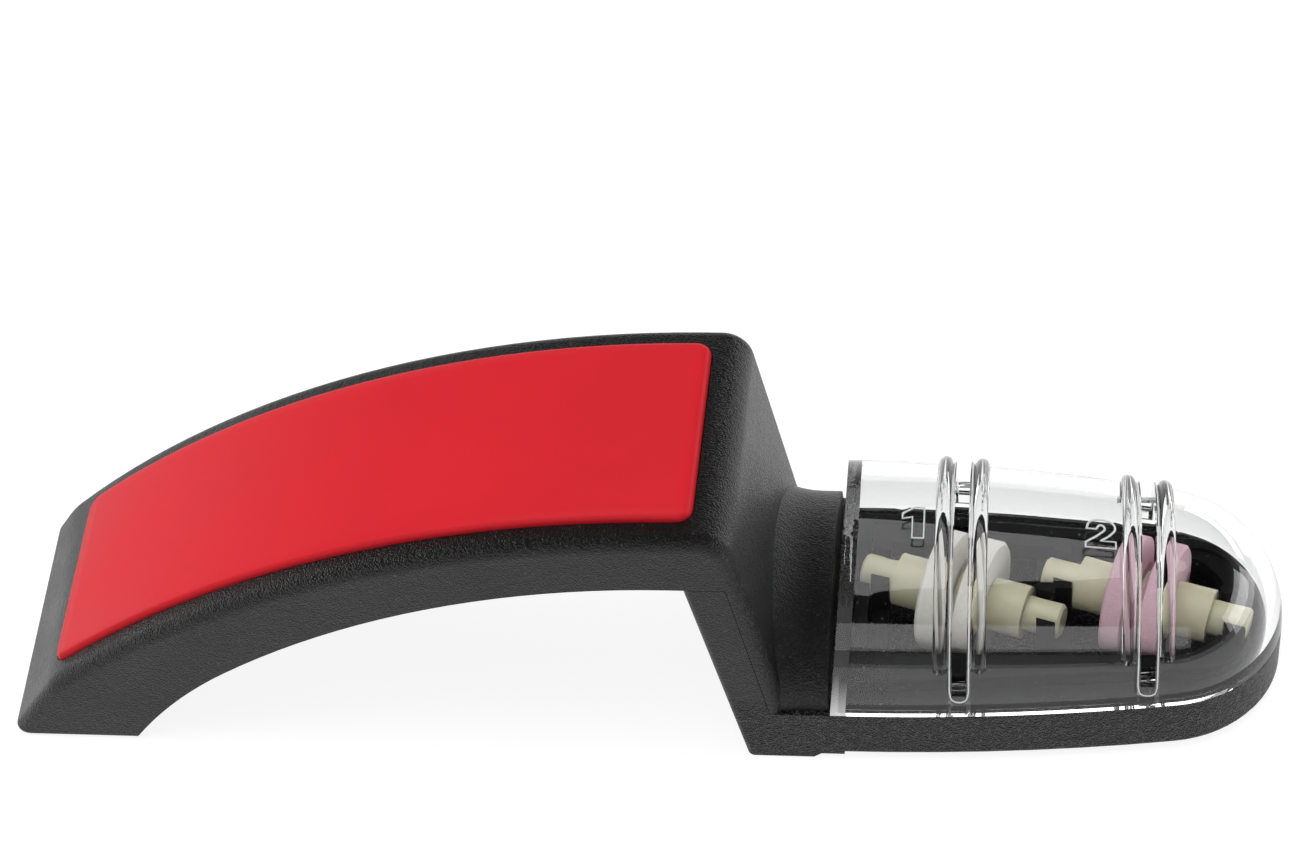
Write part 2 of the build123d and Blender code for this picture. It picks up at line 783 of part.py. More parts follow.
def wheel_cradle():
    """Frame with a raised lip, a well for the wheels and forked saddles for the journals."""
    start = head_start_x + cover_wall + body_gap
    flange = head_block(start, tray_wall + body_gap, flange_z, seam_z)
    plan = taper_plan(cradle_start_x, cradle_start_half, cradle_end_x, cradle_end_half, cradle_round)
    deck = Pos(0, 0, flange_z) * extrude(plan, amount=cradle_top_z - flange_z)
    deck = fillet(deck.edges().group_by(Axis.Z)[-1], cradle_lip_round)
    lip = cradle_lip
    low = taper_plan(
        cradle_start_x + lip,
        cradle_start_half - lip,
        cradle_end_x - lip / 2,
        cradle_end_half - lip,
        cradle_round - lip,
    )
    deck = deck - Pos(0, 0, cradle_top_z - cradle_step) * extrude(low, amount=overrun)
    well = taper_plan(well_start_x, well_start_half, well_end_x, well_end_half, well_round)
    frame = flange + deck - Pos(0, 0, web_low_z) * extrude(well, amount=cradle_top_z)
    inset = tray_wall + ledge + body_gap
    inside = head_block(cradle_start_x, inset, web_low_z, fork_top_z)
    for x in (coarse_x, fine_x):
        for side in (-1, 1):
            frame = frame + ((saddle(x, side) + cross_bar(x, side)) & inside)
    for x in (coarse_x, fine_x):
        for side in (-1, 1):
            reach = axle_half + body_gap - shoulder_place
            mid = side * (shoulder_place + reach / 2)
            seat = Cylinder(journal_bore / 2, reach, rotation=(0, 90, 0))
            frame = frame - yawed(x, Pos(mid, 0, 0) * seat)
            mouth = Box(reach, journal_bore, crown_top, align=(Align.CENTER, Align.CENTER, Align.MIN))
            frame = frame - yawed(x, Pos(mid, 0, 0) * mouth)
        frame = frame - yawed(x, room_about(wheel_rim_diameter, wheel_outer))
        frame = frame - yawed(x, room_about(axle_collar_diameter, shoulder_place))
    return frame


def turned(points):
    """Solid of revolution about X from a profile of places along and radii."""
    face = make_face(Polyline(*points, close=True))
    return revolve(face, axis=Axis.X, revolution_arc=360)


def axle(x):
    """Axle with its long core, one collar and one journal."""
    journal = journal_diameter / 2
    core = core_diameter / 2
    collar = axle_collar_diameter / 2
    start = -axle_half
    points = [
        (start, 0),
        (start, journal - journal_chamfer),
        (start + journal_chamfer, journal),
        (-shoulder_place, journal),
        (-shoulder_place, collar),
        (-wheel_outer - wheel_gap, collar),
        (-wheel_outer - wheel_gap, core),
        (wheel_outer + cap_bore_depth, core),
        (wheel_outer + cap_bore_depth, 0),
    ]
    return yawed(x, turned(points))


def end_collar(x):
    """Second collar and journal, a cap that the axle's core pushes into."""
    journal = journal_diameter / 2
    core = core_diameter / 2 + core_gap
    collar = axle_collar_diameter / 2
    start = wheel_outer + wheel_gap
    bore_end = wheel_outer + cap_bore_depth + core_gap
    points = [
        (start, core),
        (start, collar),
        (shoulder_place, collar),
        (shoulder_place, journal),
        (axle_half - journal_chamfer, journal),
        (axle_half, journal - journal_chamfer),
        (axle_half, 0),
        (bore_end, 0),
        (bore_end, core),
    ]
    return yawed(x, turned(points))


def wheel(x, side):
    """Abrasive disc whose inner face is a cone, so two of them leave a V for the edge."""
    core = core_diameter / 2 + core_gap
    near = spacer_thick / 2 + wheel_gap
    points = [
        (side * near, core),
        (side * near, wheel_inner_diameter / 2),
        (side * wheel_rim_place, wheel_rim_diameter / 2),
        (side * (wheel_rim_place + wheel_rim_flat), wheel_rim_diameter / 2),
        (side * wheel_outer, wheel_outer_diameter / 2),
        (side * wheel_outer, core),
    ]
    return yawed(x, turned(points))


def spacer(x):
    """Thin ring between the two discs."""
    core = core_diameter / 2 + core_gap
    half = spacer_thick / 2
    points = [(-half, core), (-half, spacer_diameter / 2), (half, spacer_diameter / 2), (half, core)]
    return yawed(x, turned(points))


def screw(x, y, z):
    """Cross head screw, driven upwards, with its head down."""
    head = post(0, 0, 0, screw_head_diameter, screw_head_height)
    shank = post(0, 0, screw_head_height, screw_shank_diameter, screw_length)
    bar = Box(screw_head_diameter * screw_drive_share, screw_drive_width, 2 * screw_drive_depth)
    made = head + shank - bar - Rot(0, 0, 90) * bar
    return Pos(x, y, z) * made


def screw_set(places):
    """Screws at the given places, each to both sides."""
    return Compound([screw(x, side * y, z) for x, y, z in places for side in (1, -1)])


def save(name, solid, origin_x):
    """Move a piece to the part's origin and write it."""
    moved = Pos(-origin_x, 0, 0) * solid
    export_step(moved, f"parts/{name}.step")


def main():
    tail, arch, leg = screw_places()
    pieces = {
        "handle_shell": handle_shell(),
        "base_shell": base_shell(),
        "grip_insert": grip_insert(),
        "wheel_cradle": wheel_cradle(),
        "wheel_cover": wheel_cover(),
        "tail_pad": tail_pad_solid(),
        "leg_pad": leg_pad_solid(),
        "nose_pads": nose_pad_solid(),
        "handle_screws": screw_set([tail, arch]),
        "leg_screws": screw_set([leg]),
    }
    for name, x in (("coarse", coarse_x), ("fine", fine_x)):
        pieces[f"{name}_axle"] = axle(x)
        pieces[f"{name}_end_collar"] = end_collar(x)
        pieces[f"{name}_spacer"] = spacer(x)
        pieces[f"{name}_wheel_left"] = wheel(x, -1)
        pieces[f"{name}_wheel_right"] = wheel(x, 1)
    tail_end = pieces["handle_shell"].bounding_box().min.X
    origin_x = (tail_end + nose_x) / 2
    print("origin", round(origin_x, 3))
    for name, solid in pieces.items():
        save(name, solid, origin_x)


if __name__ == "__main__":
    main()
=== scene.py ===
"""Looks for a pull through knife sharpener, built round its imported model."""

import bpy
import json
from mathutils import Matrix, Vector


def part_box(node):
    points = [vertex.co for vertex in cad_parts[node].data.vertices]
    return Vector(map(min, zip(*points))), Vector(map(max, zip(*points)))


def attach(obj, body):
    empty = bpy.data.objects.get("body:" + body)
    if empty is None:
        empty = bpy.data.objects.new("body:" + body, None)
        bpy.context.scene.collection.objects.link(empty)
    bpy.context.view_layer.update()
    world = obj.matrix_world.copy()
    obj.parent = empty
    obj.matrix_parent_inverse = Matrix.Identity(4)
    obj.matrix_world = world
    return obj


bl_info = {
    "name": "Knife sharpener looks",
    "version": (1, 0, 0),
    "blender": (4, 5, 0),
    "location": "View3D > Sidebar > Sharpener",
    "description": "Finishes the housing, grip, clear cover and wheels of a knife sharpener",
    "category": "Object",
}

import json
import math

import bmesh
import bpy
from bpy.props import FloatProperty, FloatVectorProperty, PointerProperty
from mathutils import Matrix, Vector
from mathutils.bvhtree import BVHTree

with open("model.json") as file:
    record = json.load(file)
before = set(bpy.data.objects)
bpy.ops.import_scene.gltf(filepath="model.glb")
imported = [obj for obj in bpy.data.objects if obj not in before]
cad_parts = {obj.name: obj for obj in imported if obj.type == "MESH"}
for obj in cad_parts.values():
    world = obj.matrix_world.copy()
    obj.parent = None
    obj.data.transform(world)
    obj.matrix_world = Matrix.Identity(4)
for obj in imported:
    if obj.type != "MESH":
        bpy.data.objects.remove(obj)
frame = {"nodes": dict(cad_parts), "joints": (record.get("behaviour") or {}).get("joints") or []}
NODES = frame["nodes"]
JOINTS = {joint["name"]: joint for joint in frame["joints"]}
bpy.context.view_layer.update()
MM = 0.001
SAME_PLACE = 0.002 * MM  # corners nearer than this are one corner
SHARP_EDGE = math.radians(35)  # an edge that turns more than this gets rounded
MIDDLE = (0.0, 0.0, 0.02)  # what the lamps point at
# Each lamp by name: where it stands, how wide and high it is, and the setting of its power
LAMPS = {
    "key_lamp": ((-0.05, 0.04, 0.85), (0.9, 0.8), "key_power"),
    "strip_lamp": ((0.0, -0.90, 0.42), (1.3, 0.36), "strip_power"),
    "left_lamp": ((-0.75, 0.10, 0.20), (0.6, 0.26), "side_power"),
    "back_lamp": ((0.55, 0.75, 0.06), (0.6, 0.10), "back_power"),
    "right_lamp": ((0.80, 0.05, 0.12), (0.6, 0.22), "side_power"),
}
FLOOR_HALF = 4.0  # metres from the middle of the floor to its edge
DUST_COLOUR = (0.12, 0.12, 0.12)
DUST_SHARE = 0.25  # how strongly a speck of dust shows
GRAIN_FADE = 4 * MM  # height over which the tray's stronger grain fades out
WHEEL_SETS = ("coarse", "fine")
# Outline of a knife slot's raised edge, in shares of its width and length, with each corner's kind
SLOT_OUTLINE = (
    (0.5, 0.475, "sharp"),
    (0.5, -0.475, "sharp"),
    (0.35, -0.494, "round"),
    (0.0, -0.5, "round"),
    (-0.35, -0.494, "round"),
    (-0.5, -0.475, "sharp"),
    (-0.5, 0.475, "sharp"),
    (-0.35, 0.494, "round"),
    (0.0, 0.5, "round"),
    (0.35, 0.494, "round"),
)
# Outlines of the bold numbers, in shares of their height, with each corner's kind
NUMBER_OUTLINES = {
    "coarse": (
        (0.275, 0.50, "sharp"),
        (0.275, -0.50, "sharp"),
        (-0.02, -0.50, "sharp"),
        (-0.02, 0.16, "sharp"),
        (-0.275, 0.10, "sharp"),
        (-0.275, 0.27, "sharp"),
        (0.04, 0.50, "sharp"),
    ),
    "fine": (
        (-0.36, 0.14, "sharp"),
        (-0.27, 0.40, "round"),
        (0.00, 0.50, "round"),
        (0.28, 0.40, "round"),
        (0.36, 0.20, "round"),
        (0.25, -0.03, "round"),
        (0.00, -0.27, "sharp"),
        (0.38, -0.27, "sharp"),
        (0.38, -0.50, "sharp"),
        (-0.38, -0.50, "sharp"),
        (-0.38, -0.34, "sharp"),
        (-0.02, -0.02, "round"),
        (0.10, 0.17, "round"),
        (0.00, 0.29, "round"),
        (-0.12, 0.14, "sharp"),
    ),
}


# Sizes and colours that a user would change


class HousingLook(bpy.types.PropertyGroup):
    """Black moulded housing and its wheel cradle"""

    colour: FloatVectorProperty(
        name="Colour",
        description="Colour of the black moulded plastic",
        subtype="COLOR",
        size=3,
        min=0,
        max=1,
        default=(0.0055, 0.0055, 0.0058),
    )
    worn_colour: FloatVectorProperty(
        name="Grain colour",
        description="Slightly paler colour on the tops of the grain",
        subtype="COLOR",
        size=3,
        min=0,
        max=1,
        default=(0.014, 0.0143, 0.0144),
    )
    grain_size: FloatProperty(
        name="Grain size",
        description="Width of one bump of the spark grain",
        unit="LENGTH",
        default=0.30 * MM,
    )
    grain_depth: FloatProperty(
        name="Grain depth",
        description="Height of the spark grain",
        unit="LENGTH",
        default=0.125 * MM,
    )
    tray_grain: FloatProperty(
        name="Tray grain",
        description="How much stronger the spark grain gets on the tray and the foot",
        default=4.2,
    )
    # Painted glint: the paler grain tops low on the tray stand in for the light near the floor
    tray_glint_colour: FloatVectorProperty(
        name="Tray grain colour",
        description="Paler colour on the tops of the tray's grain",
        subtype="COLOR",
        size=3,
        min=0,
        max=1,
        default=(0.11, 0.11, 0.11),
    )
    tray_height: FloatProperty(
        name="Tray height",
        description="Height of the tray's rim, above which the finer grain starts",
        unit="LENGTH",
        default=9.3 * MM,
    )
    lip_round: FloatProperty(
        name="Lip round",
        description="Radius that softens the cradle's raised lip",
        unit="LENGTH",
        default=0.25 * MM,
    )


class GripLook(bpy.types.PropertyGroup):
    """Soft red grip plate"""

    colour: FloatVectorProperty(
        name="Colour",
        description="Colour of the soft grip plate",
        subtype="COLOR",
        size=3,
        min=0,
        max=1,
        default=(0.70, 0.016, 0.027),
    )
    grain_size: FloatProperty(
        name="Grain size",
        description="Width of one bump of its fine matt texture",
        unit="LENGTH",
        default=0.16 * MM,
    )
    edge_width: FloatProperty(
        name="Edge width",
        description="How far in from its edges the plate starts to fall away",
        unit="LENGTH",
        default=2.4 * MM,
    )
    edge_fall: FloatProperty(
        name="Edge fall",
        description="How far the plate's surface falls away at its edges",
        unit="LENGTH",
        default=0.55 * MM,
    )
    left_slant: FloatProperty(
        name="Left slant",
        description="Turn of the plate's edge at the tail",
        subtype="ANGLE",
        default=math.radians(5),
    )


class CoverLook(bpy.types.PropertyGroup):
    """Clear cover, and the white lines of its raised numbers and knife slots' edges: the numbers'
    lines are their real raised outline with a painted highlight, the slots' lines a painted
    highlight on the rim
    """

    colour: FloatVectorProperty(
        name="Colour",
        description="Tint of the clear plastic",
        subtype="COLOR",
        size=3,
        min=0,
        max=1,
        default=(0.965, 0.97, 0.968),
    )
    number_height: FloatProperty(
        name="Number height",
        description="Height of the raised numbers on the cover",
        unit="LENGTH",
        default=6.0 * MM,
    )
    # The line round each number is its real raised outline, drawn white as a painted highlight
    # where light catches the relief
    number_line: FloatProperty(
        name="Number line",
        description="Width of the raised line round each number",
        unit="LENGTH",
        default=0.36 * MM,
    )
    slot_edge_width: FloatProperty(
        name="Slot edge width",
        description="Width across the raised edge of a knife slot",
        unit="LENGTH",
        default=2.9 * MM,
    )
    slot_edge_length: FloatProperty(
        name="Slot edge length",
        description="Length of the raised edge of a knife slot, over the top from front to back",
        unit="LENGTH",
        default=67.0 * MM,
    )
    # The bright line round a knife slot is a painted highlight: a white line standing in for the
    # light on the slot's rounded rim
    slot_highlight_line: FloatProperty(
        name="Slot line",
        description="Width of the bright line round a knife slot",
        unit="LENGTH",
        default=0.26 * MM,
    )
    line_step: FloatProperty(
        name="Line step",
        description="Longest straight step of a raised line, so that it follows the curved cover",
        unit="LENGTH",
        default=1.1 * MM,
    )
    number_turn: FloatProperty(
        name="Number turn",
        description="How far the numbers' middle is turned forwards from the top of the cover",
        subtype="ANGLE",
        default=math.radians(7.6),
    )
    axis_height: FloatProperty(
        name="Axis height",
        description="Height of the line that the cover's round sections turn about",
        unit="LENGTH",
        default=9.5 * MM,
    )
    number_gap: FloatProperty(
        name="Number gap",
        description="Distance from a knife slot to the middle of its number",
        unit="LENGTH",
        default=7.35 * MM,
    )


class WheelLook(bpy.types.PropertyGroup):
    """Abrasive discs and the nylon axles that carry them"""

    coarse_colour: FloatVectorProperty(
        name="Coarse disc colour",
        description="Colour of the white ceramic",
        subtype="COLOR",
        size=3,
        min=0,
        max=1,
        default=(0.73, 0.72, 0.67),
    )
    fine_colour: FloatVectorProperty(
        name="Fine disc colour",
        description="Colour of the pink ceramic",
        subtype="COLOR",
        size=3,
        min=0,
        max=1,
        default=(0.63, 0.42, 0.49),
    )
    nylon_colour: FloatVectorProperty(
        name="Nylon colour",
        description="Colour of the cream nylon axles",
        subtype="COLOR",
        size=3,
        min=0,
        max=1,
        default=(0.44, 0.42, 0.30),
    )
    grit_size: FloatProperty(
        name="Grit size",
        description="Width of one grain of the ceramic",
        unit="LENGTH",
        default=0.22 * MM,
    )


class StageLook(bpy.types.PropertyGroup):
    """Camera, lamps and floor"""

    lens: FloatProperty(
        name="Lens",
        description="Focal length on a 36 mm wide sensor",
        unit="CAMERA",
        default=84.44,
    )
    azimuth: FloatProperty(
        name="Azimuth",
        description="Turn of the camera round the object",
        subtype="ANGLE",
        default=math.radians(9.345),
    )
    elevation: FloatProperty(
        name="Elevation",
        description="Height of the camera above the horizon",
        subtype="ANGLE",
        default=math.radians(44.375),
    )
    roll: FloatProperty(
        name="Roll",
        description="Turn of the camera about its own line of sight",
        subtype="ANGLE",
        default=math.radians(5.711),
    )
    place: FloatVectorProperty(
        name="Place",
        description="Where the camera stands",
        subtype="TRANSLATION",
        unit="LENGTH",
        size=3,
        default=(0.06194, -0.32557, 0.37153),
    )
    shift: FloatVectorProperty(
        name="Shift",
        description="Sideways and upward shift of the picture",
        size=2,
        default=(-0.01369, -0.00436),
    )
    floor_colour: FloatVectorProperty(
        name="Floor colour",
        description="Colour of the plain pale floor",
        subtype="COLOR",
        size=3,
        min=0,
        max=1,
        default=(0.80, 0.80, 0.80),
    )
    floor_seen: FloatVectorProperty(
        name="Floor seen",
        description="Share of the lamps' light that the floor shows to the camera",
        subtype="COLOR",
        size=3,
        min=0,
        max=1,
        default=(0.26, 0.26, 0.26),
    )
    floor_drop: FloatProperty(
        name="Floor drop",
        description="How far the floor lies under the soft feet, so that they share no plane",
        unit="LENGTH",
        default=0.03 * MM,
    )
    floor_glow: FloatProperty(
        name="Floor glow",
        description="How white the floor is to the camera in full shadow",
        default=0.88,
    )
    key_power: FloatProperty(
        name="Key power",
        description="Power of the broad lamp overhead",
        unit="POWER",
        default=6.9,
    )
    strip_power: FloatProperty(
        name="Strip power",
        description="Power of the long lamp low in front",
        unit="POWER",
        default=2.1,
    )
    side_power: FloatProperty(
        name="Side power", description="Power of each lamp at the side", unit="POWER", default=1.6
    )
    back_power: FloatProperty(
        name="Back power",
        description="Power of the low lamp behind the nose",
        unit="POWER",
        default=0.7,
    )
    world_strength: FloatProperty(
        name="World strength", description="Strength of the soft light all round", default=0.86
    )
    zenith: FloatProperty(
        name="Zenith", description="How bright the studio is straight overhead", default=0.06
    )
    front: FloatProperty(
        name="Front", description="How bright the studio is behind the camera", default=0.30
    )
    right: FloatProperty(
        name="Right", description="How bright the studio is beyond the nose", default=0.35
    )


# Shader helpers


def new_material(name):
    """A material with an empty node tree and its output."""
    made = bpy.data.materials.new(name)
    made.use_nodes = True
    made.node_tree.nodes.clear()
    made.node_tree.nodes.new("ShaderNodeOutputMaterial")
    return made


def output_of(material):
    """The output node that a material's shader goes to."""
    return next(n for n in material.node_tree.nodes if n.bl_idname == "ShaderNodeOutputMaterial")


def add(tree, kind, **values):
    """A node in a tree, with its named sockets set."""
    node = tree.nodes.new(kind)
    for key, value in values.items():
        node.inputs[key.replace("_", " ")].default_value = value
    return node


def object_point(tree):
    """The place on the piece, in metres, that every pattern reads."""
    return tree.nodes.new("ShaderNodeTexCoord").outputs["Object"]


def ramp(tree, value, low, high, to_low, to_high):
    """Maps one range of a value to another."""
    node = tree.nodes.new("ShaderNodeMapRange")
    tree.links.new(value, node.inputs["Value"])
    node.inputs["From Min"].default_value = low
    node.inputs["From Max"].default_value = high
    node.inputs["To Min"].default_value = to_low
    node.inputs["To Max"].default_value = to_high
    return node.outputs["Result"]


def math_node(tree, operation, first, second):
    """One sum on two values, each a socket or a plain number."""
    node = tree.nodes.new("ShaderNodeMath")
    node.operation = operation
    for socket, value in zip(node.inputs, (first, second)):
        if isinstance(value, (int, float)):
            socket.default_value = value
        else:
            tree.links.new(value, socket)
    return node.outputs[0]


def mixed(tree, share, first, second):
    """A colour between two, each a socket or a plain colour."""
    node = tree.nodes.new("ShaderNodeMix")
    node.data_type = "RGBA"
    colours = [s for s in node.inputs if s.type == "RGBA"]
    tree.links.new(share, node.inputs["Factor"])
    for socket, value in zip(colours, (first, second)):
        if isinstance(value, bpy.types.NodeSocket):
            tree.links.new(value, socket)
        else:
            socket.default_value = (*value, 1)
    return next(s for s in node.outputs if s.type == "RGBA")


def shade(colour, share):
    """A colour made darker, to a share of itself."""
    return tuple(share * part for part in colour)


def with_specks(tree, base, specks, strength, colour):
    """A colour with specks of another laid over it."""
    share = math_node(tree, "MULTIPLY", specks.outputs["Mask"], strength)
    return mixed(tree, share, base, colour)


def vary_roughness(tree, shader, mask, smooth, rough):
    """Lets a mask move a shader's roughness from smooth to rough."""
    tree.links.new(ramp(tree, mask, 0, 1, smooth, rough), shader.inputs["Roughness"])


def group(name, inputs, outputs):
    """A shader node group with named sockets; returns the tree and its two ends."""
    tree = bpy.data.node_groups.new(name, "ShaderNodeTree")
    for label, kind, default in inputs:
        socket = tree.interface.new_socket(label, in_out="INPUT", socket_type=kind)
        if default is not None:
            socket.default_value = default
    for label, kind in outputs:
        tree.interface.new_socket(label, in_out="OUTPUT", socket_type=kind)
    return tree, tree.nodes.new("NodeGroupInput"), tree.nodes.new("NodeGroupOutput")


def placed(tree, name, **values):
    """A node group put in a material, with its own values."""
    node = tree.nodes.new("ShaderNodeGroup")
    node.node_tree = bpy.data.node_groups[name]
    for key, value in values.items():
        node.inputs[key.replace("_", " ")].default_value = value
    tree.links.new(object_point(tree), node.inputs["Point"])
    return node


def build_groups():
    """The shared surface effects: moulded grain, slow mottling and fine specks."""
    number, point = "NodeSocketFloat", "NodeSocketVector"

    tree, source, sink = group(
        "moulded_grain",
        [("Point", point, None), ("Size", number, 0.5 * MM), ("Unevenness", number, 0.4)],
        [("Height", number), ("Peaks", number)],
    )
    bump_middle, bump_edge = 0.05, 0.75  # distance from a bump's middle, in bump widths
    peak_foot, peak_top = 1.25, 1.80  # heights between which the grain turns into a peak
    noise_scale, clump_scale = 0.9, 0.3  # finer unevenness and broader clumps, beside the bumps
    scale = math_node(tree, "DIVIDE", 1.0, source.outputs["Size"])
    noise = add(tree, "ShaderNodeTexNoise", Detail=3.0, Roughness=0.62)
    cells = tree.nodes.new("ShaderNodeTexVoronoi")
    cells.feature = "SMOOTH_F1"
    cells.inputs["Smoothness"].default_value = 0.45
    for node in (noise, cells):
        tree.links.new(source.outputs["Point"], node.inputs["Vector"])
    tree.links.new(math_node(tree, "MULTIPLY", scale, noise_scale), noise.inputs["Scale"])
    tree.links.new(scale, cells.inputs["Scale"])
    bumps = ramp(tree, cells.outputs["Distance"], bump_middle, bump_edge, 1.0, 0.0)
    rough = math_node(tree, "MULTIPLY", noise.outputs["Fac"], source.outputs["Unevenness"])
    clumps = add(tree, "ShaderNodeTexNoise", Detail=1.0)
    tree.links.new(source.outputs["Point"], clumps.inputs["Vector"])
    tree.links.new(math_node(tree, "MULTIPLY", scale, clump_scale), clumps.inputs["Scale"])
    height = math_node(tree, "ADD", bumps, math_node(tree, "ADD", rough, clumps.outputs["Fac"]))
    tree.links.new(height, sink.inputs["Height"])
    tree.links.new(ramp(tree, height, peak_foot, peak_top, 0.0, 1.0), sink.inputs["Peaks"])

    tree, source, sink = group(
        "slow_mottle",
        [
            ("Point", point, None),
            ("Size", number, 20 * MM),
            ("Low", number, 0.35),
            ("High", number, 0.65),
        ],
        [("Mask", number)],
    )
    noise = add(tree, "ShaderNodeTexNoise", Detail=4.0, Roughness=0.55)
    tree.links.new(source.outputs["Point"], noise.inputs["Vector"])
    tree.links.new(math_node(tree, "DIVIDE", 1.0, source.outputs["Size"]), noise.inputs["Scale"])
    spread = tree.nodes.new("ShaderNodeMapRange")
    tree.links.new(noise.outputs["Fac"], spread.inputs["Value"])
    tree.links.new(source.outputs["Low"], spread.inputs["From Min"])
    tree.links.new(source.outputs["High"], spread.inputs["From Max"])
    tree.links.new(spread.outputs["Result"], sink.inputs["Mask"])

    tree, source, sink = group(
        "fine_specks",
        [("Point", point, None), ("Size", number, 0.3 * MM), ("Amount", number, 0.2)],
        [("Mask", number)],
    )
    cells = tree.nodes.new("ShaderNodeTexVoronoi")
    tree.links.new(source.outputs["Point"], cells.inputs["Vector"])
    tree.links.new(math_node(tree, "DIVIDE", 1.0, source.outputs["Size"]), cells.inputs["Scale"])
    grey = tree.nodes.new("ShaderNodeSeparateColor")
    tree.links.new(cells.outputs["Color"], grey.inputs["Color"])
    chosen = math_node(tree, "LESS_THAN", grey.outputs["Red"], source.outputs["Amount"])
    speck_radius = 0.34  # in shares of the distance between specks
    core = math_node(tree, "LESS_THAN", cells.outputs["Distance"], speck_radius)
    tree.links.new(math_node(tree, "MULTIPLY", chosen, core), sink.inputs["Mask"])


def finish_surface(material, shader, height=None, distance=0.0):
    """Joins a shader to its material, with a bump from a height."""
    tree = material.node_tree
    if height is not None:
        bump = add(tree, "ShaderNodeBump", Strength=1.0, Distance=distance)
        tree.links.new(height, bump.inputs["Height"])
        tree.links.new(bump.outputs["Normal"], shader.inputs["Normal"])
    tree.links.new(shader.outputs[0], output_of(material).inputs["Surface"])


def housing_plastic(look, name, with_tray=False):
    """Black plastic with spark grain, paler on its tops; low on the tray the grain is stronger and
    its tops much paler, painted glints of the light near the floor.
    """
    made = new_material(name)
    tree = made.node_tree
    shader = add(tree, "ShaderNodeBsdfPrincipled", IOR=1.5, Specular_IOR_Level=0.38)
    grain = placed(tree, "moulded_grain", Size=look.grain_size, Unevenness=0.55)
    mottle = placed(tree, "slow_mottle", Size=14 * MM)
    specks = placed(tree, "fine_specks", Size=0.55 * MM, Amount=0.05)
    colour = mixed(tree, grain.outputs["Peaks"], look.colour, look.worn_colour)
    colour = with_specks(tree, colour, specks, DUST_SHARE, DUST_COLOUR)
    height = grain.outputs["Height"]
    if with_tray:
        split = tree.nodes.new("ShaderNodeSeparateXYZ")
        tree.links.new(object_point(tree), split.inputs[0])
        rim, above = look.tray_height, look.tray_height + GRAIN_FADE
        low = ramp(tree, split.outputs["Z"], rim, above, 1.0, 0.0)
        stronger = math_node(tree, "ADD", math_node(tree, "MULTIPLY", low, look.tray_grain), 1.0)
        height = math_node(tree, "MULTIPLY", height, stronger)
        # Low on the tray its grain tops are painted much paler: painted glints standing in for the
        # light near the floor
        dark_height, pale_height = 1.22, 1.50  # heights between which its grain turns pale
        tops = ramp(tree, grain.outputs["Height"], dark_height, pale_height, 0.0, 1.0)
        colour = mixed(tree, math_node(tree, "MULTIPLY", low, tops), colour, look.tray_glint_colour)
    tree.links.new(colour, shader.inputs["Base Color"])
    smooth, rough = 0.30, 0.38  # roughness from patch to patch
    valley_change, peak_change = 0.02, -0.08  # what the grain adds to it
    slow = ramp(tree, mottle.outputs["Mask"], 0, 1, smooth, rough)
    fine = ramp(tree, grain.outputs["Peaks"], 0, 1, valley_change, peak_change)
    tree.links.new(math_node(tree, "ADD", slow, fine), shader.inputs["Roughness"])
    finish_surface(made, shader, height, look.grain_depth)
    return made


def cradle_plastic(look):
    """The cradle's smoother black plastic."""
    made = new_material("cradle_black")
    tree = made.node_tree
    shader = add(tree, "ShaderNodeBsdfPrincipled", IOR=1.5, Specular_IOR_Level=0.10)
    grain = placed(tree, "moulded_grain", Size=0.4 * MM, Unevenness=0.7)
    specks = placed(tree, "fine_specks", Size=0.55 * MM, Amount=0.03)
    lint_colour, lint_share = (0.30, 0.30, 0.29), 0.3
    colour = with_specks(tree, shade(look.colour, 0.6), specks, lint_share, lint_colour)
    tree.links.new(colour, shader.inputs["Base Color"])
    vary_roughness(tree, shader, grain.outputs["Peaks"], smooth=0.34, rough=0.46)
    finish_surface(made, shader, grain.outputs["Height"], 0.012 * MM)
    return made


def grip_rubber(look):
    """Soft matt red rubber that falls away softly towards the plate's edges."""
    made = new_material("grip_red")
    tree = made.node_tree
    shader = add(tree, "ShaderNodeBsdfPrincipled", IOR=1.45, Specular_IOR_Level=0.2)
    grain = placed(tree, "moulded_grain", Size=look.grain_size, Unevenness=0.8)
    mottle = placed(tree, "slow_mottle", Size=30 * MM)
    colour = mixed(tree, mottle.outputs["Mask"], shade(look.colour, 0.93), look.colour)
    tree.links.new(colour, shader.inputs["Base Color"])
    vary_roughness(tree, shader, mottle.outputs["Mask"], smooth=0.46, rough=0.54)
    fall = add(tree, "ShaderNodeBump", Distance=look.edge_fall)
    tree.links.new(edge_height(tree, look), fall.inputs["Height"])
    bump = add(tree, "ShaderNodeBump", Distance=0.006 * MM)
    tree.links.new(grain.outputs["Height"], bump.inputs["Height"])
    tree.links.new(fall.outputs["Normal"], bump.inputs["Normal"])
    tree.links.new(bump.outputs["Normal"], shader.inputs["Normal"])
    finish_surface(made, shader)
    return made


def edge_height(tree, look):
    """One over most of the plate, falling to nothing at its four edges."""
    low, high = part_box("grip_insert")
    split = tree.nodes.new("ShaderNodeSeparateXYZ")
    tree.links.new(object_point(tree), split.inputs[0])
    x, y = split.outputs["X"], split.outputs["Y"]
    end_width = 0.7 * look.edge_width  # narrower at the two ends than along the sides
    side = math_node(tree, "ABSOLUTE", y, 0.0)
    side = ramp(tree, side, high.y - look.edge_width, high.y, 0.0, 1.0)
    right = ramp(tree, x, high.x - end_width, high.x, 0.0, 1.0)
    slant = math.tan(look.left_slant)
    left = math_node(tree, "ADD", x, math_node(tree, "MULTIPLY", y, slant))
    start = low.x + slant * high.y
    left = ramp(tree, left, start, start + end_width, 1.0, 0.0)
    nearest = math_node(tree, "MAXIMUM", side, math_node(tree, "MAXIMUM", right, left))
    return math_node(tree, "SUBTRACT", 1.0, math_node(tree, "MULTIPLY", nearest, nearest))


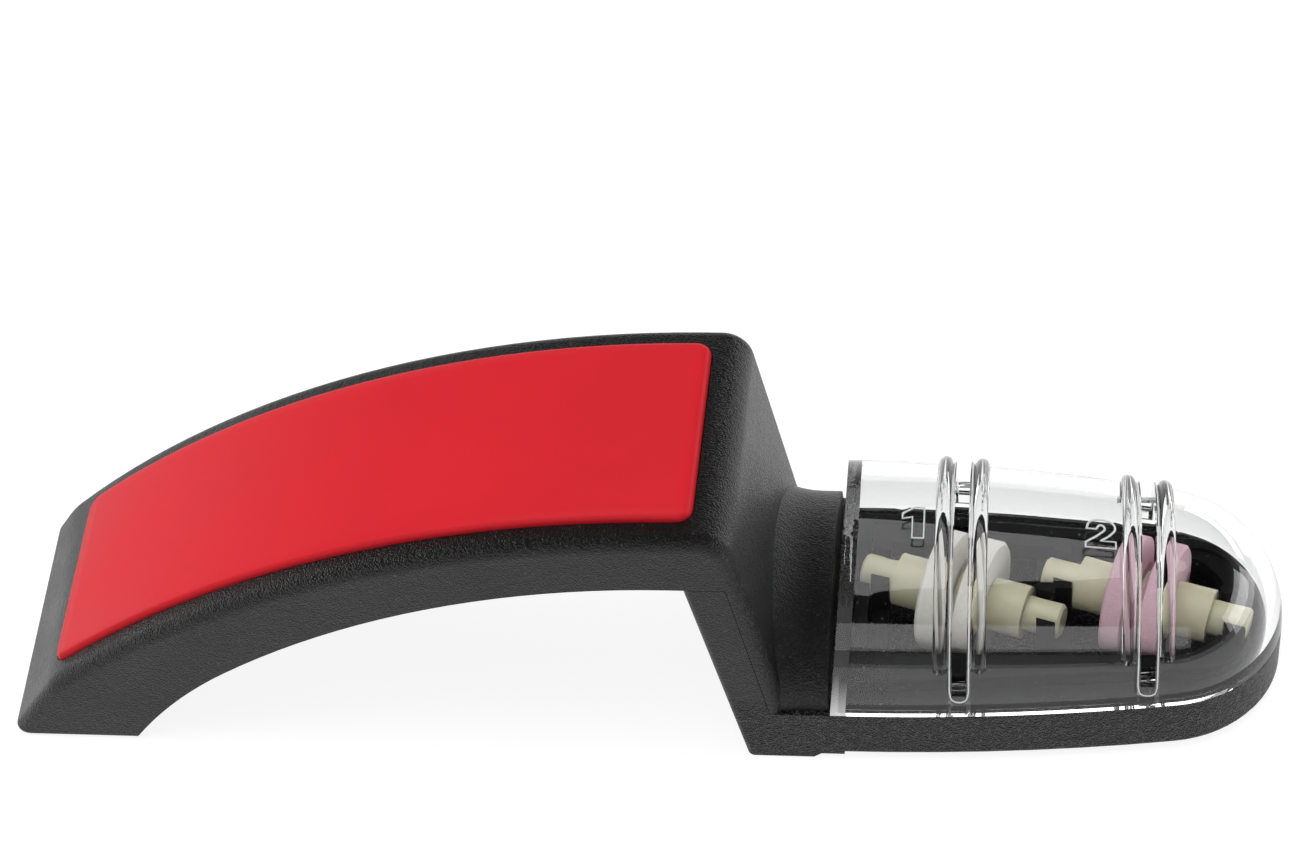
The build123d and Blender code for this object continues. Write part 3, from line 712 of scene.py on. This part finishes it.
def clear_plastic(look):
    """Clear polished plastic that lets the lamps' light through to what is inside."""
    made = new_material("cover_clear")
    tree = made.node_tree
    glass = add(tree, "ShaderNodeBsdfPrincipled", IOR=1.49, Roughness=0.015)
    glass.inputs["Base Color"].default_value = (*look.colour, 1)
    glass.inputs["Transmission Weight"].default_value = 1.0
    ripple = add(tree, "ShaderNodeTexNoise", Scale=90.0, Detail=1.0)
    tree.links.new(object_point(tree), ripple.inputs["Vector"])
    bump = add(tree, "ShaderNodeBump", Strength=0.6, Distance=0.03 * MM)
    tree.links.new(ripple.outputs["Fac"], bump.inputs["Height"])
    tree.links.new(bump.outputs["Normal"], glass.inputs["Normal"])
    through = tree.nodes.new("ShaderNodeBsdfTransparent")
    path = tree.nodes.new("ShaderNodeLightPath")
    mix = tree.nodes.new("ShaderNodeMixShader")
    tree.links.new(path.outputs["Is Shadow Ray"], mix.inputs["Fac"])
    tree.links.new(glass.outputs[0], mix.inputs[1])
    tree.links.new(through.outputs[0], mix.inputs[2])
    tree.links.new(mix.outputs[0], output_of(made).inputs["Surface"])
    return made


def bright_edge():
    """White lines painted as the highlight that light puts on the rounded edges of the raised
    numbers and of the knife slots.
    """
    made = new_material("bright_edge")
    tree = made.node_tree
    shader = add(tree, "ShaderNodeBsdfPrincipled", IOR=1.49)
    shader.inputs["Transmission Weight"].default_value = 0.1
    grain = placed(tree, "moulded_grain", Size=0.3 * MM, Unevenness=0.5)
    # Paler on the grain's peaks: painted glints on these painted highlight lines
    dull, bright = (0.80, 0.81, 0.81), (0.95, 0.96, 0.96)
    colour = mixed(tree, grain.outputs["Peaks"], dull, bright)
    tree.links.new(colour, shader.inputs["Base Color"])
    vary_roughness(tree, shader, grain.outputs["Peaks"], smooth=0.16, rough=0.30)
    finish_surface(made, shader, grain.outputs["Height"], 0.01 * MM)
    return made


def ceramic(name, colour, look):
    """Fine abrasive ceramic with visible grit."""
    made = new_material(name)
    tree = made.node_tree
    shader = add(tree, "ShaderNodeBsdfPrincipled", IOR=1.5, Specular_IOR_Level=0.3)
    grit = placed(tree, "moulded_grain", Size=look.grit_size, Unevenness=0.9)
    specks = placed(tree, "fine_specks", Size=look.grit_size * 1.6, Amount=0.18)
    dark_grit, grit_share = shade(colour, 0.6), 0.3
    base = mixed(tree, grit.outputs["Peaks"], shade(colour, 0.86), colour)
    speckled = with_specks(tree, base, specks, grit_share, dark_grit)
    tree.links.new(speckled, shader.inputs["Base Color"])
    vary_roughness(tree, shader, grit.outputs["Peaks"], smooth=0.62, rough=0.78)
    finish_surface(made, shader, grit.outputs["Height"], 0.03 * MM)
    return made


def nylon(look):
    """Cream nylon with a slight glow in it."""
    made = new_material("nylon_cream")
    tree = made.node_tree
    shader = add(tree, "ShaderNodeBsdfPrincipled", IOR=1.53)
    shader.inputs["Subsurface Weight"].default_value = 0.25
    shader.inputs["Subsurface Radius"].default_value = (1.0, 0.8, 0.5)
    shader.inputs["Subsurface Scale"].default_value = 0.8 * MM
    grain = placed(tree, "moulded_grain", Size=0.5 * MM, Unevenness=1.0)
    mottle = placed(tree, "slow_mottle", Size=4.0 * MM)
    darker = shade(look.nylon_colour, 0.9)
    colour = mixed(tree, mottle.outputs["Mask"], darker, look.nylon_colour)
    tree.links.new(colour, shader.inputs["Base Color"])
    vary_roughness(tree, shader, grain.outputs["Peaks"], smooth=0.34, rough=0.46)
    finish_surface(made, shader, grain.outputs["Height"], 0.01 * MM)
    return made


def pad_rubber():
    """Matt black rubber of the feet, with a little dust on it."""
    made = new_material("pad_rubber")
    tree = made.node_tree
    shader = add(tree, "ShaderNodeBsdfPrincipled", IOR=1.45, Specular_IOR_Level=0.25)
    grain = placed(tree, "moulded_grain", Size=0.3 * MM, Unevenness=0.8)
    mottle = placed(tree, "slow_mottle", Size=5.0 * MM)
    clean, dusty = (0.030, 0.030, 0.031), (0.055, 0.054, 0.052)
    colour = mixed(tree, mottle.outputs["Mask"], clean, dusty)
    tree.links.new(colour, shader.inputs["Base Color"])
    vary_roughness(tree, shader, mottle.outputs["Mask"], smooth=0.75, rough=0.9)
    finish_surface(made, shader, grain.outputs["Height"], 0.02 * MM)
    return made


def screw_steel():
    """Plated steel with slightly uneven brightness."""
    made = new_material("screw_steel")
    tree = made.node_tree
    shader = add(tree, "ShaderNodeBsdfPrincipled", Metallic=1.0)
    mottle = placed(tree, "slow_mottle", Size=1.2 * MM)
    grain = placed(tree, "moulded_grain", Size=0.12 * MM, Unevenness=0.6)
    dull, bright = (0.50, 0.50, 0.50), (0.62, 0.62, 0.62)
    colour = mixed(tree, mottle.outputs["Mask"], dull, bright)
    tree.links.new(colour, shader.inputs["Base Color"])
    vary_roughness(tree, shader, mottle.outputs["Mask"], smooth=0.26, rough=0.40)
    finish_surface(made, shader, grain.outputs["Height"], 0.004 * MM)
    return made


# Shapes


def dress(node, material):
    """Gives a carried-over CAD solid its material."""
    piece = NODES[node]
    piece.data.materials.clear()
    piece.data.materials.append(material)
    return piece


def soften(piece, radius):
    """Rounds the sharp edges of a solid, without changing its mesh."""
    weld = piece.modifiers.new("Weld", "WELD")
    weld.merge_threshold = SAME_PLACE
    bevel = piece.modifiers.new("Edge round", "BEVEL")
    bevel.limit_method = "ANGLE"
    bevel.angle_limit = SHARP_EDGE
    bevel.width = radius
    bevel.segments = 2
    bevel.use_clamp_overlap = True


def new_piece(name, mesh, material, body):
    """Links a finished mesh as a piece that rides on a body."""
    piece = bpy.data.objects.new(name, mesh)
    bpy.context.scene.collection.objects.link(piece)
    mesh.materials.clear()
    mesh.materials.append(material)
    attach(piece, body)


def line_mesh(corners, across, along, thickness):
    """A raised round line that runs round a closed outline, laid flat about the origin."""
    outline = bpy.data.curves.new("raised_line", "CURVE")
    outline.dimensions = "3D"
    outline.bevel_depth = thickness / 2
    outline.bevel_resolution = 3
    outline.resolution_u = 32
    spline = outline.splines.new("BEZIER")
    spline.bezier_points.add(len(corners) - 1)
    spline.use_cyclic_u = True
    for knot, (x, y, kind) in zip(spline.bezier_points, corners):
        knot.co = (x * across, y * along, 0)
        knot.handle_left_type = "AUTO" if kind == "round" else "VECTOR"
        knot.handle_right_type = knot.handle_left_type
    holder = bpy.data.objects.new("raised_line", outline)
    bpy.context.scene.collection.objects.link(holder)
    bpy.context.view_layer.update()
    finished = holder.evaluated_get(bpy.context.evaluated_depsgraph_get())
    mesh = bpy.data.meshes.new_from_object(finished)
    bpy.data.objects.remove(holder)
    return mesh


def wrap_line(mesh, middle_x, middle_turn, look):
    """Lays a flat line on the cover's curved outside."""
    cover = NODES["wheel_cover"].data
    corners = [vertex.co for vertex in cover.vertices]
    skin = BVHTree.FromPolygons(corners, [face.vertices for face in cover.polygons])
    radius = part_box("wheel_cover")[1].z - look.axis_height
    made = bmesh.new()
    made.from_mesh(mesh)
    bmesh.ops.remove_doubles(made, verts=made.verts, dist=SAME_PLACE)
    while long_edges := [edge for edge in made.edges if edge.calc_length() > look.line_step]:
        bmesh.ops.subdivide_edges(made, edges=long_edges, cuts=1, use_grid_fill=True)
    for vert in made.verts:
        x = middle_x + vert.co.x
        turn = middle_turn - vert.co.y / radius
        outward = Vector((0, -math.sin(turn), math.cos(turn)))
        axis = Vector((x, 0, look.axis_height))
        spot = skin.ray_cast(axis + 2 * radius * outward, -outward)[0]
        vert.co = spot + vert.co.z * outward
    bmesh.ops.recalc_face_normals(made, faces=made.faces)
    made.to_mesh(mesh)
    made.free()


def aim(piece, target):
    """Turns a lamp to face a point."""
    direction = Vector(target) - piece.location
    piece.rotation_euler = direction.to_track_quat("-Z", "Y").to_euler()


def add_lamp(name, place, size, power):
    """A flat rectangular lamp that faces the middle of the object."""
    data = bpy.data.lights.new(name, "AREA")
    data.shape = "RECTANGLE"
    data.size, data.size_y = size
    data.energy = power
    lamp = bpy.data.objects.new(name, data)
    bpy.context.scene.collection.objects.link(lamp)
    lamp.location = place
    aim(lamp, MIDDLE)
    return lamp


# Operators


class SHARPENER_OT_groups(bpy.types.Operator):
    """Build the shared surface effects"""

    bl_idname = "sharpener.groups"
    bl_label = "Surface effects"

    def execute(self, context):
        build_groups()
        return {"FINISHED"}


class SHARPENER_OT_housing(bpy.types.Operator):
    """Finish the moulded housing and the wheel cradle"""

    bl_idname = "sharpener.housing"
    bl_label = "Housing"

    def execute(self, context):
        look = context.scene.sharpener_housing
        dress("handle_shell", housing_plastic(look, "housing_black"))
        dress("base_shell", housing_plastic(look, "base_black", with_tray=True))
        cradle = dress("wheel_cradle", cradle_plastic(look))
        soften(cradle, look.lip_round)
        return {"FINISHED"}


class SHARPENER_OT_grip(bpy.types.Operator):
    """Finish the soft grip plate"""

    bl_idname = "sharpener.grip"
    bl_label = "Grip plate"

    def execute(self, context):
        dress("grip_insert", grip_rubber(context.scene.sharpener_grip))
        return {"FINISHED"}


class SHARPENER_OT_cover(bpy.types.Operator):
    """Finish the clear cover and add its raised numbers' outlines and its knife slots' edges as
    white lines, painted highlights on their rounded edges
    """

    bl_idname = "sharpener.cover"
    bl_label = "Clear cover"

    def execute(self, context):
        look = context.scene.sharpener_cover
        clear = clear_plastic(look)
        dress("wheel_cover", clear)
        # White material for the painted highlights on the numbers' and the slots' edges
        edge = bright_edge()
        for wheel_set in WHEEL_SETS:
            slot_x = JOINTS[f"{wheel_set}_spin"]["pos_m"][0]
            # Each number's raised outline, in white as a painted highlight
            size = look.number_height
            line = line_mesh(NUMBER_OUTLINES[wheel_set], size, size, look.number_line)
            wrap_line(line, slot_x - look.number_gap, look.number_turn, look)
            new_piece(f"{wheel_set}_number", line, edge, "cover")
            # The slot's rim as a white line: a painted highlight
            across, along = look.slot_edge_width, look.slot_edge_length
            line = line_mesh(SLOT_OUTLINE, across, along, look.slot_highlight_line)
            wrap_line(line, slot_x, 0.0, look)
            new_piece(f"{wheel_set}_slot_edge", line, edge, "cover")
        return {"FINISHED"}


class SHARPENER_OT_wheels(bpy.types.Operator):
    """Finish the abrasive discs, the axles and the rings between the discs"""

    bl_idname = "sharpener.wheels"
    bl_label = "Wheels and axles"

    def execute(self, context):
        look = context.scene.sharpener_wheels
        cream = nylon(look)
        discs = {
            "coarse": ceramic("wheel_white", look.coarse_colour, look),
            "fine": ceramic("wheel_pink", look.fine_colour, look),
        }
        for wheel_set in WHEEL_SETS:
            for part in ("axle", "end_collar", "spacer"):
                dress(f"{wheel_set}_{part}", cream)
            for side in ("left", "right"):
                dress(f"{wheel_set}_wheel_{side}", discs[wheel_set])
        return {"FINISHED"}


class SHARPENER_OT_feet(bpy.types.Operator):
    """Finish the soft feet and the screws under the housing"""

    bl_idname = "sharpener.feet"
    bl_label = "Feet and screws"

    def execute(self, context):
        rubber = pad_rubber()
        for node in ("tail_pad", "leg_pad", "nose_pads"):
            dress(node, rubber)
        steel = screw_steel()
        for node in ("handle_screws", "leg_screws"):
            dress(node, steel)
        return {"FINISHED"}


class SHARPENER_OT_stage(bpy.types.Operator):
    """Set up the camera, the lamps and the pale floor"""

    bl_idname = "sharpener.stage"
    bl_label = "Stage"

    def execute(self, context):
        look = context.scene.sharpener_stage
        scene = context.scene
        scene.view_settings.view_transform = "Standard"
        set_camera(scene, look)
        set_floor(look)
        set_world(scene, look)
        for name, (place, size, power) in LAMPS.items():
            lamp = add_lamp(name, place, size, getattr(look, power))
            lamp.visible_glossy = name != "key_lamp"
        return {"FINISHED"}


def set_camera(scene, look):
    """Camera at the photographed angle, with its roll and its shifted middle."""
    data = bpy.data.cameras.new("camera")
    data.sensor_width = 36.0
    data.lens = look.lens
    data.shift_x, data.shift_y = look.shift
    data.clip_start, data.clip_end = 0.01, 20.0
    camera = bpy.data.objects.new("camera", data)
    scene.collection.objects.link(camera)
    turn, lift, roll = look.azimuth, look.elevation, look.roll
    right = Vector((math.cos(turn), math.sin(turn), 0))
    level = Vector((-math.sin(turn), math.cos(turn), 0))
    ahead = math.cos(lift) * level - math.sin(lift) * Vector((0, 0, 1))
    down = ahead.cross(right)
    right_rolled = math.cos(roll) * right + math.sin(roll) * down
    down_rolled = -math.sin(roll) * right + math.cos(roll) * down
    axes = Matrix((right_rolled, -down_rolled, -ahead)).transposed()
    camera.matrix_world = Matrix.Translation(look.place) @ axes.to_4x4()
    scene.camera = camera


def set_floor(look):
    """Large pale floor that shows white to the camera, takes the shadow and is clear from below."""
    made = bmesh.new()
    bmesh.ops.create_grid(made, x_segments=1, y_segments=1, size=FLOOR_HALF)
    bmesh.ops.translate(made, verts=made.verts, vec=(0, 0, -look.floor_drop))
    mesh = bpy.data.meshes.new("floor")
    made.to_mesh(mesh)
    made.free()
    floor = bpy.data.objects.new("floor", mesh)
    bpy.context.scene.collection.objects.link(floor)
    material = new_material("floor_pale")
    tree = material.node_tree
    path = tree.nodes.new("ShaderNodeLightPath")
    seen = path.outputs["Is Camera Ray"]
    for kind in ("Is Transmission Ray", "Is Glossy Ray"):
        seen = math_node(tree, "MAXIMUM", seen, path.outputs[kind])
    matt = add(tree, "ShaderNodeBsdfDiffuse")
    tree.links.new(mixed(tree, seen, look.floor_colour, look.floor_seen), matt.inputs["Color"])
    glow = add(tree, "ShaderNodeEmission")
    tree.links.new(math_node(tree, "MULTIPLY", seen, look.floor_glow), glow.inputs["Strength"])
    both = tree.nodes.new("ShaderNodeAddShader")
    tree.links.new(matt.outputs[0], both.inputs[0])
    tree.links.new(glow.outputs[0], both.inputs[1])
    facing = tree.nodes.new("ShaderNodeNewGeometry")
    one_sided = tree.nodes.new("ShaderNodeMixShader")
    tree.links.new(facing.outputs["Backfacing"], one_sided.inputs["Fac"])
    tree.links.new(both.outputs[0], one_sided.inputs[1])
    tree.links.new(tree.nodes.new("ShaderNodeBsdfTransparent").outputs[0], one_sided.inputs[2])
    tree.links.new(one_sided.outputs[0], output_of(material).inputs["Surface"])
    mesh.materials.append(material)


def set_world(scene, look):
    """A studio darker overhead, behind the camera and beyond the nose, and white to the camera."""
    world = bpy.data.worlds.new("studio")
    scene.world = world
    world.use_nodes = True
    tree = world.node_tree
    tree.nodes.clear()
    sink = tree.nodes.new("ShaderNodeOutputWorld")
    split = tree.nodes.new("ShaderNodeSeparateXYZ")
    tree.links.new(tree.nodes.new("ShaderNodeTexCoord").outputs["Generated"], split.inputs[0])
    # A direction seen from the object runs from minus one to one on each axis
    low_sky, high_sky = 0.05, 0.45
    behind_camera, beside_object = -0.75, 0.05
    near_nose, beyond_nose = 0.10, 0.60
    upward = ramp(tree, split.outputs["Z"], low_sky, high_sky, 1.0, look.zenith)
    forward = ramp(tree, split.outputs["Y"], behind_camera, beside_object, look.front, 1.0)
    rightward = ramp(tree, split.outputs["X"], near_nose, beyond_nose, 1.0, look.right)
    level = math_node(tree, "MULTIPLY", math_node(tree, "MULTIPLY", upward, forward), rightward)
    path = tree.nodes.new("ShaderNodeLightPath")
    dim = math_node(tree, "MULTIPLY", path.outputs["Is Diffuse Ray"], look.world_strength - 1.0)
    level = math_node(tree, "MULTIPLY", level, math_node(tree, "ADD", dim, 1.0))
    level = math_node(tree, "MAXIMUM", level, path.outputs["Is Camera Ray"])
    light = tree.nodes.new("ShaderNodeBackground")
    light.inputs["Color"].default_value = (1, 1, 1, 1)
    tree.links.new(level, light.inputs["Strength"])
    tree.links.new(light.outputs[0], sink.inputs["Surface"])


class SHARPENER_PT_panel(bpy.types.Panel):
    """Sizes, colours and steps of the knife sharpener's looks"""

    bl_idname = "SHARPENER_PT_panel"
    bl_label = "Knife sharpener"
    bl_space_type = "VIEW_3D"
    bl_region_type = "UI"
    bl_category = "Sharpener"

    def draw(self, context):
        layout = self.layout
        for step in STEPS:
            layout.operator(step.bl_idname)
        for label, name, _ in LOOK_GROUPS:
            box = layout.box()
            box.label(text=label)
            group_of = getattr(context.scene, name)
            for key in group_of.__annotations__:
                box.prop(group_of, key)


STEPS = (
    SHARPENER_OT_groups,
    SHARPENER_OT_stage,
    SHARPENER_OT_housing,
    SHARPENER_OT_grip,
    SHARPENER_OT_cover,
    SHARPENER_OT_wheels,
    SHARPENER_OT_feet,
)
LOOK_GROUPS = (
    ("Housing", "sharpener_housing", HousingLook),
    ("Grip", "sharpener_grip", GripLook),
    ("Cover", "sharpener_cover", CoverLook),
    ("Wheels", "sharpener_wheels", WheelLook),
    ("Stage", "sharpener_stage", StageLook),
)
CLASSES = tuple(kind for _, _, kind in LOOK_GROUPS) + STEPS + (SHARPENER_PT_panel,)


def register():
    """Adds the classes and the scene's settings."""
    for kind in CLASSES:
        bpy.utils.register_class(kind)
    for _, name, kind in LOOK_GROUPS:
        setattr(bpy.types.Scene, name, PointerProperty(type=kind))


def unregister():
    """Takes the settings and the classes away again."""
    for _, name, _ in LOOK_GROUPS:
        delattr(bpy.types.Scene, name)
    for kind in reversed(CLASSES):
        bpy.utils.unregister_class(kind)


def main():
    """Builds the looks in order."""
    register()
    bpy.ops.sharpener.groups()
    bpy.ops.sharpener.stage()
    bpy.ops.sharpener.housing()
    bpy.ops.sharpener.grip()
    bpy.ops.sharpener.cover()
    bpy.ops.sharpener.wheels()
    bpy.ops.sharpener.feet()


if __name__ == "__main__":
    main()
